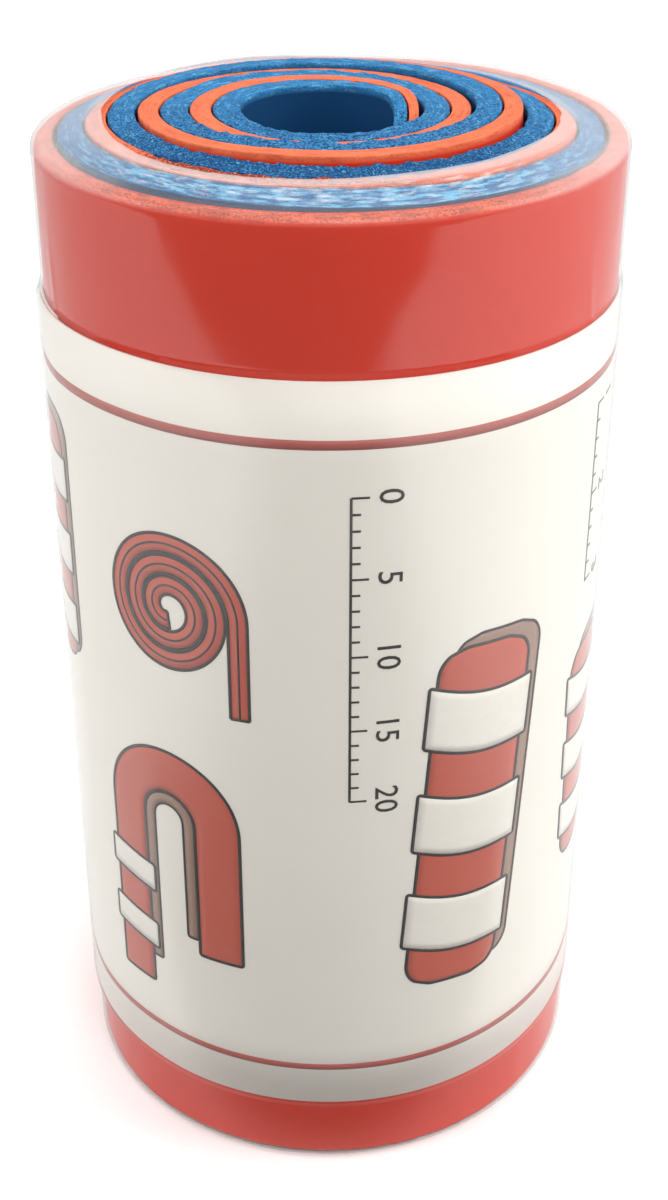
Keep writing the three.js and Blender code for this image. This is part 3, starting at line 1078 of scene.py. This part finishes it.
class SPLINT_OT_shrink_film(bpy.types.Operator):
    """Adds the clear film over the roll, folded over the rims and open in the middle"""

    bl_idname = "splint.shrink_film"
    bl_label = "Shrink film"

    def execute(self, context):
        roll = roll_of(context)
        stations = 720
        angle = np.linspace(0, TURN, stations, endpoint=False)[:, None]
        turned = np.mod(angle - LABEL_SEAM, TURN)
        out, up, rim = film_profile(roll, label_lift(roll, turned, True))
        half_height = roll.strip_width / 2
        on_top = up > half_height
        lap = smooth(-out, 0.4, 1.4)
        arc = angle / TURN

        # The edge round the opening is uneven, and drawn back in front, to the left
        right = right_of_front(angle)
        drawn_back = smooth(right, -1.35, -0.55) * (1 - smooth(right, -0.3, 0.65))
        uneven = 0.1 * grain(arc * 61, 0 * arc, 41, 61) + 1.2 * drawn_back - 0.4
        uneven = uneven * smooth(-out, 2.5, roll.film_lap)

        # The folds over the rim are crumpled, and the lap settles on the foams' climbing edges
        front = front_of(angle, 1.25)
        folds = grain(arc * 110, out / 0.4, 42, 110)
        crumple = 0.03 * folds * front + 0.02 * grain(arc * 90, out / 2.0, 43, 90)
        taut_folds = 0.03 * grain(arc * 90, 0 * arc, 44, 90) * (1 - lap)
        creases = sum(crease(angle, up, **row) for row in CREASES)
        radius = roll.taut(angle) + out + uneven
        lift = np.maximum(crumple + 0.06, -0.02) * lap
        settle = roll.sheared(radius - 0.35, angle)
        label_top = label_section(roll)[1]
        near_rim = smooth(np.abs(up - half_height), label_top - half_height + 3, half_height)
        radius = radius + np.maximum(taut_folds, -0.03) * near_rim * (1 - lap) + creases
        points = np.stack([radius, up + np.where(on_top, settle + lift, 0)], axis=-1)

        # Haze is thickest over the pale inner band, and over the blue one the crinkles carry painted glints
        rim_haze, blue_haze, inner_haze = 0.03 + 0.17 * (1 - front), 0.03 + 0.1 * (1 - front), 0.21
        haze = rim_haze + (blue_haze - rim_haze) * smooth(-out, 1.9, 2.3)
        haze = haze + (inner_haze - blue_haze) * smooth(-out, 4.6, 5.0)
        over_blue = smooth(-out, 2.2, 2.6) * (1 - smooth(-out, 4.5, 4.9))
        streak_length, streak_width = 3.0, 0.25
        marks = {
            "haze": haze * rim,
            "rim": rim,
            "crinkle": over_blue * on_top * front_of(angle, 1.1),
            "along": arc * TURN * FILM_RADIUS * MM / streak_length,
            "across": -out * MM / streak_width,
        }

        # The outer wall: the inner one, moved out square to the profile
        step = np.gradient(points, axis=1)
        square = np.stack([step[..., 1], -step[..., 0]], axis=-1)
        square = square / np.linalg.norm(square, axis=-1, keepdims=True)
        outer = points + square * roll.film_thickness
        walls = np.concatenate([outer, points[:, ::-1]], axis=1)
        walls[..., 1] = np.maximum(walls[..., 1], -roll.film_foot)
        made = roll.place(walls[..., 0], angle, walls[..., 1])
        marks = {mark: np.broadcast_to(values, out.shape) for mark, values in marks.items()}
        marks = {mark: np.hstack([values, values[:, ::-1]]) for mark, values in marks.items()}
        marks["outside"] = np.hstack([np.ones_like(out), np.zeros_like(out)])
        piece = grid_piece("shrink_film", made, film_material(), "shrink_film", is_ring=True, **marks)
        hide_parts("shrink_film")
        return {"FINISHED"}


def film_profile(roll, lift):
    """The film's inner wall from the lower opening to the upper one, at each turning angle.

    Gives distances out from the taut line, heights, and how far a point is over a rim. The rims are
    quarter circles. The wall steps out over the label, with rows close to both of its edges so that
    the step stays sharp.
    """
    edge, gap = 0.8, roll.wrap_gap
    low, high = label_section(roll)
    over = 2 * gap + roll.label_thickness + lift
    turn = np.linspace(0, math.pi / 2, 7)
    reach = edge + gap
    low_lap = np.linspace(-edge, -roll.film_lap, 7)[:0:-1]
    high_lap = np.linspace(-edge, -roll.film_lap, 22)[1:]
    below = np.array([*np.linspace(edge + 0.5, low - 1.2, 4), low - 0.9, low - 0.7])
    inside = np.linspace(low + 0.6, high - 0.6, 8)
    beside = np.array([low - 0.1, low + 0.1, *inside, high - 0.1, high + 0.1])
    above = np.array([high + 0.7, high + 0.9, *np.linspace(high + 1.2, roll.strip_width - edge - 0.4, 8)])
    one = np.ones_like(lift)
    sections = [
        (low_lap, 0 * low_lap - gap),
        (reach * np.sin(turn) - edge, edge - reach * np.cos(turn)),
        (0 * below + gap, below),
        (0 * beside + over, beside),
        (0 * above + gap, above),
        (reach * np.cos(turn) - edge, roll.strip_width - edge + reach * np.sin(turn)),
        (high_lap, 0 * high_lap + roll.strip_width + gap),
    ]
    out = np.hstack([one * distances for distances, heights in sections])
    up = np.hstack([one * heights for distances, heights in sections])
    from_rim = np.abs(up - roll.strip_width / 2) - roll.strip_width / 2
    return np.broadcast_arrays(out, up, smooth(from_rim, -1.0, -0.2))


class SPLINT_OT_stage(bpy.types.Operator):
    """Adds the pale floor, the soft lights and the camera at the photograph's angle"""

    bl_idname = "splint.stage"
    bl_label = "Stage"

    def execute(self, context):
        scene = context.scene
        scene.view_settings.view_transform = "Standard"
        scene.world = white_studio()
        add_floor(scene)
        add_softboxes(scene)
        add_camera(scene)
        return {"FINISHED"}


def white_studio():
    """The room that the film mirrors: white behind and beside the roll, and dim behind the camera."""
    world = bpy.data.worlds.new("white_studio")
    world.use_nodes = True
    tree = world.node_tree
    tree.nodes.clear()
    heading = add(tree, "ShaderNodeTexCoord").outputs["Generated"]
    parts = add(tree, "ShaderNodeSeparateXYZ", {"Vector": heading})
    forward = ramp(tree, parts.outputs["Y"], -0.75, 0.0)
    rightward = ramp(tree, parts.outputs["X"], -0.9, 0.4)
    sides = blend(tree, rightward, grey(0.82), (1.02, 1.02, 1.01, 1))
    tone = blend(tree, forward, (0.52, 0.51, 0.5, 1), sides)
    sky = add(tree, "ShaderNodeBackground", {"Color": tone}, Strength=1.0)
    add(tree, "ShaderNodeOutputWorld", {"Surface": sky.outputs[0]})
    return world


def floor_material():
    """A matt white studio floor, plain to the eye from every side.

    What it gives back to the roll is greyer in front of the roll, and darkest past the camera on a
    slanting line, which draws the darker middle of the red band between its two paler reflections.
    """
    made, tree = new_material("pale_floor")
    place = add(tree, "ShaderNodeTexCoord").outputs["Object"]
    parts = add(tree, "ShaderNodeSeparateXYZ", {"Vector": place})
    slanting = maths(tree, "MULTIPLY_ADD", parts.outputs["X"], 0.21, parts.outputs["Y"])
    paleness = ramp(tree, slanting, -0.242, -0.229)
    before = maths(tree, "SUBTRACT", 1, ramp(tree, parts.outputs["Y"], -0.036, -0.027))
    beside = ramp(tree, maths(tree, "ABSOLUTE", parts.outputs["X"]), 0.05, 0.12)
    shaded = maths(tree, "MULTIPLY", before, maths(tree, "SUBTRACT", 1, beside))
    near = blend(tree, shaded, grey(0.94), grey(0.27))
    tone = blend(tree, paleness, grey(0.18), near)
    # Painted shade and painted reflection: rays that leave the roll see these grey tones, the camera sees
    # plain white
    seen = add(tree, "ShaderNodeLightPath").outputs["Is Camera Ray"]
    tone = blend(tree, seen, tone, grey(1.0))
    body = add(tree, "ShaderNodeBsdfPrincipled", {"Base Color": tone}, Roughness=0.6)
    close(tree, body)
    return made


def add_floor(scene):
    half = 3.0
    mesh = bpy.data.meshes.new("floor")
    corners = [(-half, -half, 0), (half, -half, 0), (half, half, 0), (-half, half, 0)]
    mesh.from_pydata(corners, [], [(0, 1, 2, 3)])
    mesh.materials.append(floor_material())
    floor = bpy.data.objects.new("floor", mesh)
    scene.collection.objects.link(floor)


SOFTBOXES = (
    {"name": "overhead", "place": (0.0, 0.25, 0.9), "size": 0.8, "watts": 1.0},
    {"name": "left_window", "place": (-0.6, -0.05, 0.45), "size": 0.4, "watts": 1.25},
    {"name": "right_window", "place": (0.6, -0.05, 0.45), "size": 0.4, "watts": 2.1},
    {"name": "front_window", "place": (0.04, -0.21, 0.31), "size": 0.15, "watts": 0.37},
)


def add_softboxes(scene):
    """Square area lamps, in metres, each turned to the middle of the roll."""
    aim = (0, 0, 0.06)
    for row in SOFTBOXES:
        light = bpy.data.lights.new(row["name"], "AREA")
        light.energy = row["watts"]
        light.size = row["size"]
        lamp = bpy.data.objects.new(row["name"], light)
        lamp.location = row["place"]
        lamp.rotation_euler = facing([p - q for p, q in zip(row["place"], aim)])
        scene.collection.objects.link(lamp)


def add_camera(scene):
    lens = bpy.data.cameras.new("camera")
    lens.sensor_fit = "VERTICAL"
    lens.sensor_height = 36
    lens.lens = lens.sensor_height * FOCAL_PIXELS / PHOTO_HEIGHT
    lens.shift_x = 2 / PHOTO_HEIGHT
    lens.clip_start = 0.01
    camera = bpy.data.objects.new("camera", lens)
    camera.location = (0.0, -0.173, 0.1566)
    camera.rotation_euler = (math.radians(60.0), 0, 0)
    scene.collection.objects.link(camera)
    scene.camera = camera


def facing(away):
    """The turns that point a lamp's -Z against a direction."""
    x, y, z = away
    flat = math.hypot(x, y)
    return (math.atan2(flat, z), 0, math.atan2(x, -y))


class SPLINT_PT_panel(bpy.types.Panel):
    """Lists the splint's sizes, colours and pieces"""

    bl_idname = "SPLINT_PT_panel"
    bl_label = "Rolled foam splint"
    bl_space_type = "VIEW_3D"
    bl_region_type = "UI"
    bl_category = "Splint"

    def draw(self, context):
        column = self.layout.column()
        for name in SplintSizes.__annotations__:
            column.prop(context.scene.splint_sizes, name)
        for name in SplintColours.__annotations__:
            column.prop(context.scene.splint_colours, name)
        for operator in OPERATORS:
            column.operator(operator.bl_idname)


OPERATORS = (
    SPLINT_OT_stage,
    SPLINT_OT_orange_foam,
    SPLINT_OT_blue_foam,
    SPLINT_OT_aluminium_core,
    SPLINT_OT_paper_label,
    SPLINT_OT_label_print,
    SPLINT_OT_shrink_film,
)
CLASSES = (SplintSizes, SplintColours, *OPERATORS, SPLINT_PT_panel)


def register():
    for each in CLASSES:
        bpy.utils.register_class(each)
    bpy.types.Scene.splint_sizes = bpy.props.PointerProperty(type=SplintSizes)
    bpy.types.Scene.splint_colours = bpy.props.PointerProperty(type=SplintColours)


def unregister():
    del bpy.types.Scene.splint_colours
    del bpy.types.Scene.splint_sizes
    for each in reversed(CLASSES):
        bpy.utils.unregister_class(each)


def main():
    register()
    for operator in OPERATORS:
        group, name = operator.bl_idname.split(".")
        getattr(getattr(bpy.ops, group), name)()


if __name__ == "__main__":
    main()
